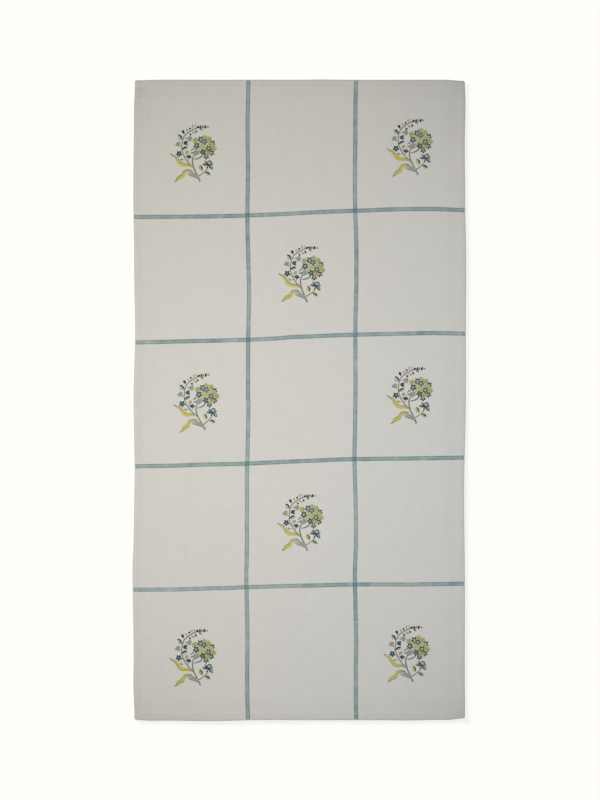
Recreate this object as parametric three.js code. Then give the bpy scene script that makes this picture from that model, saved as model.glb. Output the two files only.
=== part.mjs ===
// A printed cotton bath towel, one hemmed cloth lying flat with its face up.
// Millimetres, +Z up, the long way along Y. The origin is the middle of the underside.

import * as THREE from 'three';

// Finished size from hem to hem
const TOWEL_WIDTH = 711;
const TOWEL_LENGTH = 1372;

// Height of the face above the flat underside
const CLOTH_THICKNESS = 1.2;
const HEM_THICKNESS = 2.2;
const CORNER_EXTRA = 0.6;

// How far each turned hem reaches in from its edge
const SIDE_HEM = 11.5;
const TOP_HEM = 14.5;
const BOTTOM_HEM = 16;

// The hem's fold is rounded, and its stitching pulls a shallow groove
const FOLD_RADIUS = 1.8;
const FOLD_WALL = 0.4;
const STITCH_INSET = 2.2;
const GROOVE_DEPTH = 0.35;
const GROOVE_WIDTH = 1.1;
const HEM_STEP = 1;

// Slow swells that a washed cloth keeps when it lies flat
const SWELL_HEIGHT = 0.35;
const SWELL_PITCH_X = 262;
const SWELL_PITCH_Y = 348;

// Panels of the cloth between the hems
const PANELS_ACROSS = 17;
const PANELS_ALONG = 31;

// How far each edge bows out of a true rectangle, by its place along the edge from the middle
const LEFT_EDGE = [
  { at: -686, out: -2.2 },
  { at: -610, out: 1.4 },
  { at: -550, out: 0.6 },
  { at: -370, out: 3.2 },
  { at: -280, out: 0 },
  { at: -160, out: -2.2 },
  { at: 20, out: 0.6 },
  { at: 140, out: -2.6 },
  { at: 290, out: -0.5 },
  { at: 440, out: 1.7 },
  { at: 620, out: 0 },
  { at: 686, out: -2.4 },
];

const RIGHT_EDGE = [
  { at: -686, out: -0.8 },
  { at: -665, out: 0.8 },
  { at: -540, out: -1.1 },
  { at: -420, out: -0.7 },
  { at: -205, out: -2.4 },
  { at: -10, out: 0.9 },
  { at: 140, out: 2.4 },
  { at: 320, out: 2 },
  { at: 530, out: -1.3 },
  { at: 640, out: 0.6 },
  { at: 686, out: -1.4 },
];

const TOP_EDGE = [
  { at: -355, out: -0.4 },
  { at: -300, out: 1.2 },
  { at: -195, out: 0.7 },
  { at: -65, out: 1.4 },
  { at: 60, out: 1.8 },
  { at: 110, out: 0.5 },
  { at: 310, out: 0.6 },
  { at: 355, out: -1.8 },
];

const BOTTOM_EDGE = [
  { at: -355, out: -0.8 },
  { at: -325, out: 1.6 },
  { at: -195, out: 2 },
  { at: -70, out: 0.2 },
  { at: 60, out: 0.8 },
  { at: 215, out: 1.3 },
  { at: 320, out: -0.1 },
  { at: 355, out: -3.2 },
];

// Small puckers where a hem pulls: middle, half length, half width, turn from +X and rise
const PUCKERS = [
  { x: -333, y: 612, length: 34, width: 9, turn: 68, rise: 0.8 },
  { x: -340, y: -372, length: 46, width: 12, turn: 88, rise: 0.5 },
  { x: -326, y: -662, length: 26, width: 9, turn: 30, rise: 0.5 },
  { x: 330, y: 655, length: 30, width: 10, turn: -38, rise: 0.5 },
  { x: 334, y: -664, length: 28, width: 9, turn: -30, rise: 0.6 },
];

const CLOTH_COLOUR = 0xc9c6bc;
const CLOTH_ROUGHNESS = 0.92;

// 0 below zero, 1 above one, and an even ramp with soft ends between them
function softStep(value) {
  return THREE.MathUtils.smoothstep(value, 0, 1);
}

// The bow of an edge at a place along it, eased from one row of its table to the next
function bowAt(edge, place) {
  const last = edge.length - 1;
  if (place <= edge[0].at) return edge[0].out;
  if (place >= edge[last].at) return edge[last].out;
  const next = edge.findIndex((row) => row.at > place);
  const from = edge[next - 1];
  const to = edge[next];
  const share = softStep((place - from.at) / (to.at - from.at));
  return THREE.MathUtils.lerp(from.out, to.out, share);
}

// Grid lines from one edge to the other, close together over the two hems
function gridLines(length, firstHem, lastHem, panels) {
  const hemLines = (hem) => [
    0,
    FOLD_RADIUS / 3,
    FOLD_RADIUS,
    hem - STITCH_INSET - GROOVE_WIDTH,
    hem - STITCH_INSET,
    hem - HEM_STEP,
    hem + HEM_STEP,
  ];
  const first = hemLines(firstHem);
  const last = hemLines(lastHem).map((inset) => length - inset).reverse();
  const start = first[first.length - 1];
  const end = last[0];
  const middle = [];
  for (let panel = 1; panel < panels; panel += 1) {
    middle.push(THREE.MathUtils.lerp(start, end, panel / panels));
  }
  return [...first, ...middle, ...last];
}

// 1 on a hem and 0 on the plain cloth inside it
function onHem(inset, hem) {
  return 1 - softStep((inset - hem + HEM_STEP) / (2 * HEM_STEP));
}

// The groove that a hem's stitching presses into the cloth
function groove(inset, hem) {
  const offset = (inset - hem + STITCH_INSET) / GROOVE_WIDTH;
  return GROOVE_DEPTH * Math.exp(-offset * offset);
}

// How much of the full height the rounded fold leaves at an inset from the edge
function foldShare(inset) {
  const out = 1 - Math.min(inset / FOLD_RADIUS, 1);
  return FOLD_WALL + (1 - FOLD_WALL) * Math.sqrt(1 - out * out);
}

function swell(x, y) {
  const across = Math.sin((2 * Math.PI * x) / SWELL_PITCH_X + 0.7);
  const along = Math.cos((2 * Math.PI * y) / SWELL_PITCH_Y - x / SWELL_PITCH_X);
  return SWELL_HEIGHT * (0.5 + 0.5 * across * along);
}

function puckerRise(x, y) {
  let rise = 0;
  for (const pucker of PUCKERS) {
    const turn = THREE.MathUtils.degToRad(pucker.turn);
    const dx = x - pucker.x;
    const dy = y - pucker.y;
    const along = (dx * Math.cos(turn) + dy * Math.sin(turn)) / pucker.length;
    const across = (dy * Math.cos(turn) - dx * Math.sin(turn)) / pucker.width;
    rise += pucker.rise * Math.exp(-along * along - across * across);
  }
  return rise;
}

// Height of the face at a point of the grid, which is given by its insets from the four edges
function faceHeight(x, y, insets) {
  const side = Math.min(insets.left, insets.right);
  const sideBand = onHem(side, SIDE_HEM);
  const topBand = onHem(insets.top, TOP_HEM);
  const bottomBand = onHem(insets.bottom, BOTTOM_HEM);
  const endBand = Math.max(topBand, bottomBand);
  const turned = Math.max(sideBand, endBand) * (HEM_THICKNESS - CLOTH_THICKNESS);
  const doubled = Math.min(sideBand, endBand) * CORNER_EXTRA;
  const grooves = Math.max(
    groove(side, SIDE_HEM),
    groove(insets.top, TOP_HEM),
    groove(insets.bottom, BOTTOM_HEM),
  );
  const edge = Math.min(side, insets.top, insets.bottom);
  const full = CLOTH_THICKNESS + turned + doubled - grooves + swell(x, y) + puckerRise(x, y);
  return full * foldShare(edge);
}

// One closed sheet: a face grid, the same grid flat underneath, and a wall around them
function towelGeometry() {
  const across = gridLines(TOWEL_WIDTH, SIDE_HEM, SIDE_HEM, PANELS_ACROSS);
  const along = gridLines(TOWEL_LENGTH, BOTTOM_HEM, TOP_HEM, PANELS_ALONG);
  const columns = across.length;
  const rows = along.length;
  const positions = [];

  for (const v of along) {
    for (const u of across) {
      const flatX = u - TOWEL_WIDTH / 2;
      const flatY = v - TOWEL_LENGTH / 2;
      const x = flatX + THREE.MathUtils.lerp(
        -bowAt(LEFT_EDGE, flatY), bowAt(RIGHT_EDGE, flatY), u / TOWEL_WIDTH,
      );
      const y = flatY + THREE.MathUtils.lerp(
        -bowAt(BOTTOM_EDGE, flatX), bowAt(TOP_EDGE, flatX), v / TOWEL_LENGTH,
      );
      const insets = {
        left: u,
        right: TOWEL_WIDTH - u,
        bottom: v,
        top: TOWEL_LENGTH - v,
      };
      positions.push(x, y, faceHeight(x, y, insets));
    }
  }

  const faceCount = columns * rows;
  for (let point = 0; point < faceCount; point += 1) {
    positions.push(positions[3 * point], positions[3 * point + 1], 0);
  }

  const index = [];
  for (let row = 0; row < rows - 1; row += 1) {
    for (let column = 0; column < columns - 1; column += 1) {
      const a = row * columns + column;
      const b = a + 1;
      const c = b + columns;
      const d = a + columns;
      index.push(a, b, c, a, c, d);
      index.push(a + faceCount, c + faceCount, b + faceCount);
      index.push(a + faceCount, d + faceCount, c + faceCount);
    }
  }

  // The rim, anticlockwise seen from above
  const rim = [];
  for (let column = 0; column < columns - 1; column += 1) rim.push(column);
  for (let row = 0; row < rows - 1; row += 1) rim.push(row * columns + columns - 1);
  for (let column = columns - 1; column > 0; column -= 1) rim.push((rows - 1) * columns + column);
  for (let row = rows - 1; row > 0; row -= 1) rim.push(row * columns);
  rim.forEach((here, place) => {
    const next = rim[(place + 1) % rim.length];
    index.push(here, here + faceCount, next + faceCount);
    index.push(here, next + faceCount, next);
  });

  const geometry = new THREE.BufferGeometry();
  geometry.setAttribute('position', new THREE.Float32BufferAttribute(positions, 3));
  geometry.setIndex(index);
  geometry.computeVertexNormals();
  return geometry;
}

// Moves the sheet sideways until its outline is centred on the origin
function centred(geometry) {
  geometry.computeBoundingBox();
  const middle = geometry.boundingBox.getCenter(new THREE.Vector3());
  geometry.translate(-middle.x, -middle.y, 0);
  return geometry;
}

const clothMaterial = new THREE.MeshStandardMaterial({
  color: CLOTH_COLOUR,
  roughness: CLOTH_ROUGHNESS,
  metalness: 0,
});

const towel = new THREE.Mesh(centred(towelGeometry()), clothMaterial);
towel.name = 'towel';

const group = new THREE.Group();
group.add(towel);

export default group;
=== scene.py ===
"""A printed cotton bath towel laid out flat, one hemmed cloth seen from straight above.

Sizes are in millimetres, on the flat cloth: x across from its middle, y along it from its middle.
"""
import math

import bpy
import numpy as np
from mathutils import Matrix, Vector
from mathutils.geometry import delaunay_2d_cdt


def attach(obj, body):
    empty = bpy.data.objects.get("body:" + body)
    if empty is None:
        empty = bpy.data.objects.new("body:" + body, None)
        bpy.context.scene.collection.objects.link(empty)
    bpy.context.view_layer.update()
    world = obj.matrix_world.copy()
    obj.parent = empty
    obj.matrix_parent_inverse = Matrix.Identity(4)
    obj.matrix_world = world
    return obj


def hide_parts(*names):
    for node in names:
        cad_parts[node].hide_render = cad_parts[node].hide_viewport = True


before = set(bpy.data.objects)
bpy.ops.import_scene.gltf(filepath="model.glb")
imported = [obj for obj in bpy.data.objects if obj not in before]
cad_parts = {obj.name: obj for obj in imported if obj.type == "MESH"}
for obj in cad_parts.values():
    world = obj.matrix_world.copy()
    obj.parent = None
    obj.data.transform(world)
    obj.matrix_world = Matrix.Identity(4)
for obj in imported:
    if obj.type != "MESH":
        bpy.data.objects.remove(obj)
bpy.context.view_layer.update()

MM = 0.001
SEED = 11
TAU = 2 * math.pi

# Finished size and the heights of the face above the underside
TOWEL_WIDTH = 711
TOWEL_LENGTH = 1372
CLOTH_THICKNESS = 1.2
HEM_THICKNESS = 2.2
CORNER_EXTRA = 0.6
CORNER_RADIUS = 3.5

# How far each turned hem reaches in, and where its stitching runs
SIDE_HEM = 11.5
TOP_HEM = 14.5
BOTTOM_HEM = 16
HEMS = (SIDE_HEM, SIDE_HEM, BOTTOM_HEM, TOP_HEM)
STITCH_INSET = 2.2
GROOVE_DEPTH = 0.3
GROOVE_WIDTH = 1.1
HEM_STEP = 1.6
FOLD_DEPTH = 0.5
FOLD_WIDTH = 0.9

# The cloth's low swells and the finer ripple of its hems: rise and breadth
SWELL = (0.22, 130)
RIPPLE = (0.1, 34)

# How far each edge bows out of a true rectangle: place along the edge, bow
LEFT_EDGE = [
    (-686, -1.4), (-610, 1.2), (-550, 0.5), (-375, 3.0), (-270, 0.1), (-160, -1.6),
    (5, 0.6), (140, -2.6), (290, -0.6), (440, 1.4), (620, -0.2), (686, -2.3),
]
RIGHT_EDGE = [
    (-686, -2.1), (-660, -1.8), (-600, -2.4), (-540, -2.4), (-420, -2.1), (-205, -3.8),
    (20, -0.1), (160, -0.1), (290, 0.7), (430, -1.5), (550, -2.5), (635, -0.9), (686, -2.4),
]
TOP_EDGE = [
    (-355, -0.9), (-295, 0.4), (-180, 0.2), (-90, 0.4), (-20, 0.2), (50, 0.8), (110, 0.2),
    (310, 0.3), (355, -2.2),
]
BOTTOM_EDGE = [
    (-355, -1.8), (-325, 0.3), (-280, 0.1), (-205, 1.1), (-165, 0.9), (-90, -1.0), (60, -0.8), (190, -0.8),
    (225, -0.2), (300, -1.3), (318, -1.3), (355, -5.0),
]

# The middle of the flat cloth, from the frame's origin
MIDDLE_X = -0.4
MIDDLE_Y = -0.1


# Shape of the cloth

def soft(value):
    value = np.clip(value, 0, 1)
    return value * value * (3 - 2 * value)


def eased(table, place):
    """The table's value at a place, eased from each row to the next."""
    at, value = np.array(table, float).T
    place = np.clip(place, at[0], at[-1])
    row = np.clip(np.searchsorted(at, place, side="right") - 1, 0, len(at) - 2)
    share = soft((place - at[row]) / (at[row + 1] - at[row]))
    return value[row] + (value[row + 1] - value[row]) * share


def laid(flat):
    """Where points of the true rectangle lie, with its edges bowed."""
    x, y = flat[:, 0], flat[:, 1]
    right = x / TOWEL_WIDTH + 0.5
    top = y / TOWEL_LENGTH + 0.5
    moved_x = eased(RIGHT_EDGE, y) * right - eased(LEFT_EDGE, y) * (1 - right)
    moved_y = eased(TOP_EDGE, x) * top - eased(BOTTOM_EDGE, x) * (1 - top)
    return np.stack([x + moved_x, y + moved_y], 1)


def insets(place):
    """How far laid points are from the bowed left, right, bottom and top edges."""
    x, y = place[:, 0], place[:, 1]
    half_width, half_length = TOWEL_WIDTH / 2, TOWEL_LENGTH / 2
    return (
        x + half_width + eased(LEFT_EDGE, y),
        half_width + eased(RIGHT_EDGE, y) - x,
        y + half_length + eased(BOTTOM_EDGE, x),
        half_length + eased(TOP_EDGE, x) - y,
    )


def wander(x, y, seed, pitch):
    """A smooth uneven field from -1 to 1, with bumps about pitch across."""
    rng = np.random.default_rng(seed)
    total = np.zeros_like(x)
    waves = 7
    for _ in range(waves):
        way = rng.uniform(0, TAU)
        length = pitch * rng.uniform(1.2, 2.6)
        along = (x * math.cos(way) + y * math.sin(way)) / length
        total += np.sin(TAU * along + rng.uniform(0, TAU))
    return total / math.sqrt(waves * 2)


# Small puckers where a hem pulls: x, y, half length, half width, turn in degrees, rise
PUCKERS = [
    (-333, 612, 34, 9, 68, 0.8),
    (-340, -372, 46, 12, 88, 0.5),
    (-326, -662, 26, 9, 30, 0.5),
    (330, 655, 30, 10, -38, 0.5),
    (334, -664, 28, 9, -30, 0.6),
]


def pucker_rise(x, y):
    rise = np.zeros_like(x)
    for middle_x, middle_y, length, width, turn, height in PUCKERS:
        turn = math.radians(turn)
        dx, dy = x - middle_x, y - middle_y
        along = (dx * math.cos(turn) + dy * math.sin(turn)) / length
        across = (dy * math.cos(turn) - dx * math.sin(turn)) / width
        rise += height * np.exp(-along ** 2 - across ** 2)
    return rise


def on_hem(inset, hem):
    return 1 - soft((inset - hem + HEM_STEP) / (2 * HEM_STEP))


def seam(inset, hem):
    """How near a place is to a hem's stitching, from 0 to 1."""
    return np.exp(-((inset - hem + STITCH_INSET) / GROOVE_WIDTH) ** 2)


def groove(inset, hem):
    return GROOVE_DEPTH * seam(inset, hem)


def channel(inset, hem):
    """The hollows of the underside along a hem's inner fold and its stitching."""
    fold = FOLD_DEPTH * np.exp(-((inset - hem - HEM_STEP) / FOLD_WIDTH) ** 2)
    return np.maximum(fold, groove(inset, hem))


def over_hems(place, profile):
    """A profile's values at the left, right, bottom and top hem."""
    return [profile(inset, hem) for inset, hem in zip(insets(place), HEMS)]


# How much painted shade darkens the folded edges, the stitched seams and the broad borders: left, right,
# bottom, top
FOLD_EDGE_SHADE = (0.025, 0.01, 0.035, 0.05)
SEAM_SHADE = (0.045, 0.010, 0.025, 0.03)
BORDER_SHADE = (0.010, 0.052, 0.056, 0.040)
EDGE_REACH = 1.8
BORDER_START = 5
BORDER_REACH = 50
# The same painted shade round the corners: bottom left, top left, bottom right, top right
CORNER_SHADE = (0.047, 0.03, 0.05, 0.053)
CORNER_REACH = 120


def painted_shade(place):
    """The share of light taken off the cloth's colour by painted shade along the folded edges and seams,
    towards the borders and round the corners, from 0 to 1.
    """
    edges = insets(place)
    narrow = np.zeros(len(place))
    broad = np.zeros(len(place))
    for inset, hem, at_edge, at_seam, at_border in zip(edges, HEMS, FOLD_EDGE_SHADE, SEAM_SHADE, BORDER_SHADE):
        folded = at_edge * (1 - soft((inset - EDGE_REACH) / EDGE_REACH))
        narrow = np.maximum(narrow, np.maximum(folded, at_seam * seam(inset, hem)))
        broad += at_border * (1 - soft((inset - BORDER_START) / BORDER_REACH))
    left, right, bottom, top = edges
    corners = ((left, bottom), (left, top), (right, bottom), (right, top))
    for (side, end), at_corner in zip(corners, CORNER_SHADE):
        broad += at_corner * np.exp(-(side ** 2 + end ** 2) / CORNER_REACH ** 2)
    return narrow + broad


def face_height(place):
    """Height of the cloth's face over the surface it lies on."""
    x, y = place.T
    left, right, bottom, top = over_hems(place, on_hem)
    side_band = np.maximum(left, right)
    end_band = np.maximum(bottom, top)
    band = np.maximum(side_band, end_band)
    turned = band * (HEM_THICKNESS - CLOTH_THICKNESS)
    doubled = np.minimum(side_band, end_band) * CORNER_EXTRA
    grooves = np.max(over_hems(place, groove), axis=0)
    swells = SWELL[0] * (1 + wander(x, y, SEED, SWELL[1]))
    ripple = RIPPLE[0] * wander(x, y, SEED + 1, RIPPLE[1]) * band
    return CLOTH_THICKNESS + turned + doubled - grooves + swells + ripple + pucker_rise(x, y)


def under_height(place):
    """The underside lies flat, but for its channels."""
    return np.max(over_hems(place, channel), axis=0)


# Inks: the share of red, green and blue light that a full print lets back

INKS = {
    "night": (0.008, 0.024, 0.030),
    "navy": (0.016, 0.064, 0.080),
    "deep": (0.012, 0.032, 0.024),
    "bottle": (0.050, 0.115, 0.060),
    "blue": (0.090, 0.190, 0.245),
    "teal": (0.120, 0.240, 0.270),
    "slate": (0.080, 0.125, 0.115),
    "haze": (0.520, 0.670, 0.680),
    "yellow": (0.930, 0.775, 0.105),
    "ochre": (0.880, 0.660, 0.140),
    "lemon": (0.810, 0.800, 0.450),
    "citron": (0.690, 0.660, 0.250),
    "lime": (0.680, 0.730, 0.330),
    "olive": (0.410, 0.405, 0.165),
    "fern": (0.250, 0.280, 0.140),
    "bronze": (0.130, 0.150, 0.045),
    "grey": (0.270, 0.278, 0.245),
    "sage": (0.360, 0.400, 0.315),
    "stone": (0.440, 0.450, 0.415),
    "moss": (0.670, 0.705, 0.610),
    "pale": (0.840, 0.850, 0.790),
    "soil": (0.955, 0.950, 0.935),
    "shade": (0.900, 0.900, 0.905),
    "bare": (1.0, 1.0, 1.0),
}
STRIPE_INK = (0.380, 0.520, 0.550)


# Shapes of the flower print, as outlines

def curve(points, steps=6):
    """A smooth line through a few points."""
    points = np.array(points, float)
    ends = np.vstack([2 * points[0] - points[1], points, 2 * points[-1] - points[-2]])
    line = []
    for a, b, c, d in zip(ends, ends[1:], ends[2:], ends[3:]):
        for t in np.arange(steps) / steps:
            line.append(0.5 * (
                2 * b + (c - a) * t + (2 * a - 5 * b + 4 * c - d) * t ** 2 + (3 * b - a - 3 * c + d) * t ** 3
            ))
    line.append(points[-1])
    return np.array(line)


def ribbon(points, widths, steps=6):
    """A stroke along a smooth line, with its widths spread evenly from end to end."""
    line = curve(points, steps)
    ahead = np.gradient(line, axis=0)
    ahead /= np.linalg.norm(ahead, axis=1)[:, None]
    left = np.stack([-ahead[:, 1], ahead[:, 0]], 1)
    share = np.linspace(0, len(widths) - 1, len(line))
    half = np.interp(share, np.arange(len(widths)), widths)[:, None] / 2
    return np.vstack([line - left * half, (line + left * half)[::-1]])


def placed(points, x, y, turn=0):
    turn = math.radians(turn)
    spin = np.array([[math.cos(turn), math.sin(turn)], [-math.sin(turn), math.cos(turn)]])
    return points @ spin + (x, y)


def spot(x, y, turn, ahead, left=0):
    """A point some way ahead of and to the left of another."""
    return tuple(placed(np.array([(ahead, left)]), x, y, turn)[0])


def oval(half_length, half_width, points=10):
    angle = TAU * np.arange(points) / points
    return np.stack([np.cos(angle), np.sin(angle)], 1) * (half_length, half_width)


def drop(length, width, points=10):
    """A petal that starts as a point and ends round, along +X."""
    angle = TAU * np.arange(points) / points
    x = length * (1 - np.cos(angle)) / 2
    y = -width * 0.62 * np.sin(angle) * np.abs(np.sin(angle / 2)) ** 0.8
    return np.stack([x, y], 1)


def blade(length, width, bend=0, points=8, low=1, high=1):
    """A leaf with two pointed ends, along +X, bent to its left; low and high scale its two halves."""
    along = np.linspace(0, 1, points)
    spine = np.stack([length * along, bend * np.sin(math.pi * along)], 1)
    half = width / 2 * np.sin(math.pi * along) ** 0.8
    below = spine - np.stack([0 * half, half * low], 1)
    above = spine + np.stack([0 * half, half * high], 1)
    return np.vstack([below, above[-2:0:-1]])


def cup(half, length, width):
    """A bud that opens along +X, from half of its outline as shares of its length and half width."""
    upper = np.array(half) * (length, width / 2)
    lower = upper[-2:0:-1] * (1, -1)
    ring = np.vstack([upper, lower, upper[:1]])
    return curve(ring, 2)[:-1]


def motif(rows, x, y, turn, length=1, width=1):
    """A motif's parts, as pairs of an ink and an outline.

    Each row has the ink, the form, how far ahead it starts, its length and its width, as shares of the
    motif's, and what else the form needs.
    """
    parts = []
    for ink, form, start, long, wide, *more in rows:
        outline = form(length * long, width * wide, *more)
        parts.append((ink, placed(outline, *spot(x, y, turn, length * start), turn)))
    return parts


def drawn(draw, rows):
    """The parts that a function draws for each row of its table."""
    return [part for row in rows for part in draw(*row)]


# The flower sprig, in millimetres from the middle of its block

STEMS = [
    # points, widths
    ([(13.5, -62), (12, -57), (6.5, -45.5), (1, -33.5), (-2, -21), (-1.7, -12), (1.5, -5), (7, 2)],
     [3.6, 3.0, 2.9, 2.9, 2.7, 2.4, 1.7]),
    ([(0, -33), (-4.5, -27.5), (-12, -20), (-18.5, -9.5), (-23.3, 2), (-24.5, 13), (-23, 26), (-18.7, 36),
      (-9.8, 44), (1, 50.2), (11, 54)],
     [2.2, 2.3, 2.1, 2.1, 2.1, 2.0, 2.1, 2.1, 1.8]),
    ([(0.5, -14), (8, -12.6), (14.5, -9.8), (20, -5)], [1.8, 2.8, 3.1, 2.6]),
    ([(8, -51), (13, -48.6), (19, -44.5), (26, -39.3), (30, -33)], [2.6, 2.2, 2.1, 2.0]),
]
# Lighter strokes down the middle of the thick stems
STEM_CORES = [
    ([(-1.6, -31), (-3.0, -21), (-2.4, -12), (1.2, -5.4)], [0.3, 0.3, 0.5, 0.4]),
    ([(3, -13.4), (8.4, -12.3), (14.8, -9.3)], [0.4, 0.8, 0.5]),
    ([(13, -48.4), (19.2, -44.1), (25, -39.6)], [0.4, 0.8, 0.4]),
]
TIP_STEMS = [
    ([(10.5, 53.8), (18, 53), (25, 53.5), (31, 54.2)], [1.2, 0.8, 0.8]),
    ([(17.5, 53), (21, 55.5), (22.5, 58.5)], [0.8, 0.6]),
]

# Twigs that hold the buds on the arching stem: from, to
TWIGS = [
    ((-18.6, -9.8), (-13.5, -2.5)), ((-12, -20), (-10.3, -16)), ((-20, -8), (-27, -4)),
    ((-16, -14.5), (-21, -15)), ((-24.5, 15), (-29, 12.5)), ((-23.6, 21), (-20, 21.2)),
    ((-22, 29.5), (-26, 28.5)), ((-22, 29.5), (-16, 31)), ((-17.5, 37), (-19.5, 40)),
    ((-12, 42.3), (-12.5, 46.5)), ((-9.5, 44.2), (-6.5, 40.5)), ((-7.5, 45.6), (-7.3, 50.5)),
    ((-3, 48.2), (-1.2, 44)), ((-1.5, 49), (-0.8, 52.5)), ((4.5, 51.5), (6.2, 47)), ((4, 51.5), (4.5, 55)),
]

# Buds beside the arching stem: kind, x, y, turn, length, width
BUDS = [
    ("petal", -18.9, 39.8, 118, 9.2, 5.6),
    ("bell", -27.8, 12.4, 128, 12.4, 12.4),
    ("seed", -11.6, 45.6, 118, 6, 3.8),
    ("dot", -7.1, 51.8, 0, 2.2, 2.2),
    ("seed", -0.8, 51.4, 90, 8.4, 3.4),
    ("seed", 4.4, 54.6, 86, 4.8, 3),
    ("dot", 6.7, 45.2, 0, 2.3, 2.3),
    ("seed", -2.8, 44.4, -30, 8.6, 3.8),
    ("dot", -5.8, 39, 0, 2.2, 2.2),
    ("bell", -16.4, 31, -4, 13.6, 11.8),
    ("cup", -20.6, 21.2, -4, 8.9, 9.6),
    ("seed", -17.4, -2.9, 38, 9.6, 6.6),
    ("tulip", -10.2, -13.2, 84, 9.2, 12.2),
    ("seed", -10.5, -16.4, 84, 4.6, 3.2),
    ("seed", -21.2, -15.9, 162, 8.0, 5.0),
]
# The parts of the small buds, in a motif's rows
SMALL_BUDS = {
    "dot": [("night", oval, 0, 1, 1)],
    "petal": [("night", drop, 0, 1, 1), ("teal", drop, 0.12, 0.34, 0.22)],
    "seed": [("olive", blade, 0, 1, 1, 0.4), ("citron", blade, 0.12, 0.66, 0.44, 0.4, 7)],
}
# Half of an opening bud's outline, as shares of its length and half width
CUP_HALVES = {
    "cup": [(0, 0), (0.05, 0.6), (0.5, 0.92), (1, 1), (0.9, 0.5), (0.92, 0)],
    "tulip": [(0, 0), (0.12, 0.26), (0.45, 1), (0.66, 0.74), (0.9, 0.28), (1, 0)],
    "bell": [(0, 0), (0.22, 0.22), (0.5, 0.8), (0.76, 1), (0.95, 0.6), (1, 0)],
}
# Ribs of an opening bud: where they stand from side to side, as shares of its half width
BELL_RIBS = (-0.66, -0.24, 0.2, 0.62)
CUP_RIBS = (-0.5, 0.5)
# How large the lighter inside of a dark bud is, as a share of the bud
INSIDES = {"cup": 0.72, "tulip": 0.58}
# Curled leaflets with a dark back: points and widths of the back, then the pale blade inside it
CURLS = [
    ([(-24.4, 28.6), (-25.2, 33), (-28.2, 36.5), (-32.8, 38)], [1.6, 3.2, 3.3, 1.9],
     (-25.8, 28, 131, 9.6, 4.8)),
    ([(-25.6, 6), (-22.4, 8.6), (-19.2, 11.3), (-16, 12.2), (-12.4, 10.9)], [1.4, 2.7, 3.1, 3.1, 1.9],
     (-22, 6.6, 16, 9, 4.6)),
]

# Leaves at the tip of the arching stem: x, y, turn, length, width, ink
TIP_LEAVES = [
    (6.8, 52.2, 32, 7.8, 4.4, "night"),
    (16, 50.4, 88, 9, 3.2, "deep"),
    (18.2, 52.6, 56, 6.6, 2.2, "deep"),
    (15, 51.4, 112, 6.4, 2.2, "fern"),
    (12.4, 51.4, -32, 8.4, 3, "fern"),
    (15.8, 52.4, -60, 7, 2.4, "fern"),
    (24, 50.8, 68, 9, 4.2, "deep"),
    (22.4, 55, -8, 5.6, 2, "deep"),
    (28.4, 54.2, 4, 5.8, 3.0, "fern"),
]


def ribs(ink, sides, foot, tip, widths, steps, place):
    """Strokes that spread up a bud: foot and tip give each stroke's ends from its side."""
    return [(ink, placed(ribbon([foot(side), tip(side)], widths, steps), *place)) for side in sides]


def bell(x, y, turn, length, width):
    outline = cup(CUP_HALVES["bell"], length, width)
    parts = [
        ("stone", placed(outline, x, y, turn)),
        ("moss", placed(outline * 0.66, *spot(x, y, turn, length * 0.1), turn)),
    ]
    parts += ribs(
        "stone", BELL_RIBS, lambda side: (length * 0.4, side * 2),
        lambda side: (length * (0.9 - 0.2 * side ** 2), side * width * 0.46), [1.2, 2.5], 3, (x, y, turn),
    )
    parts += motif([("olive", blade, 0, 0.6, 0.34)], x, y, turn, length, width)
    return parts + motif([("citron", blade, 0, 0.4, 0.16, 0, 6)], *spot(x, y, turn, 0.8), turn, length, width)


def dark_bud(kind, x, y, turn, length, width):
    outline = cup(CUP_HALVES[kind], length, width)
    parts = [
        ("navy", placed(outline, x, y, turn)),
        ("teal", placed(outline * INSIDES[kind], *spot(x, y, turn, length * 0.24), turn)),
    ]
    parts += motif([("bottle", blade, 0, 0.5, 0.44, 0, 7)], *spot(x, y, turn, 0.4), turn, length, width)
    return parts + ribs(
        "navy", CUP_RIBS, lambda side: (length * 0.3, side),
        lambda side: (length * 0.74, side * width * 0.5), [0.6, 0.9], 2, (x, y, turn),
    )


def bud(kind, *shape):
    """One bud of the arching stem."""
    if kind in SMALL_BUDS:
        return motif(SMALL_BUDS[kind], *shape)
    return bell(*shape) if kind == "bell" else dark_bud(kind, *shape)


def curled_leaflet(points, widths, pale):
    rows = [("stone", blade, 0, 1, 1, 0.6), ("haze", blade, 0.1, 0.8, 0.7, 0.5, 7)]
    return motif(rows, *pale) + [("deep", ribbon(points, widths, 4))]


# Florets of the round head: x, y, turn, radius, ink of the edges, ink of every other petal
YELLOW_FLORETS = [
    (4.7, 25.4, 140, 7.0, "olive", "citron"),
    (24.4, 32.2, 96, 6.6, "sage", "lemon"),
    (33.4, 27.4, 64, 7.0, "olive", "citron"),
    (25.2, 11.4, 50, 6, "citron", "lemon"),
    (19.2, 13.4, 18, 6.8, "citron", "lemon"),
    (37.8, 16, 38, 7.0, "olive", "lemon"),
    (43.8, 8, 352, 6.6, "olive", "citron"),
    (31, -1.4, 78, 7.2, "olive", "citron"),
]
# Those behind the yellow ones and those before them: x, y, turn, radius, ink of petals, ink of middle
NAVY_BEHIND = [
    (40.6, 20.2, 44, 6.6, "deep", "haze"),
    (27.2, -9.0, 54, 6.2, "navy", "haze"),
    (38.9, -0.9, 50, 6.4, "navy", "haze"),
]
NAVY_BEFORE = [
    (15.7, 28.8, 56, 6.6, "navy", "haze"),
    (17.3, 26.9, 20, 3.6, "haze", "haze"),
    (23.4, 23.6, 56, 6.6, "blue", "haze"),
    (6.6, 14.8, 50, 7.0, "navy", "haze"),
    (32.4, 8.8, 52, 6.4, "bottle", "bare"),
    (20.2, 0.9, 34, 6.8, "navy", "blue"),
]
HEAD_MIDDLE = (24.5, 11)
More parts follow.
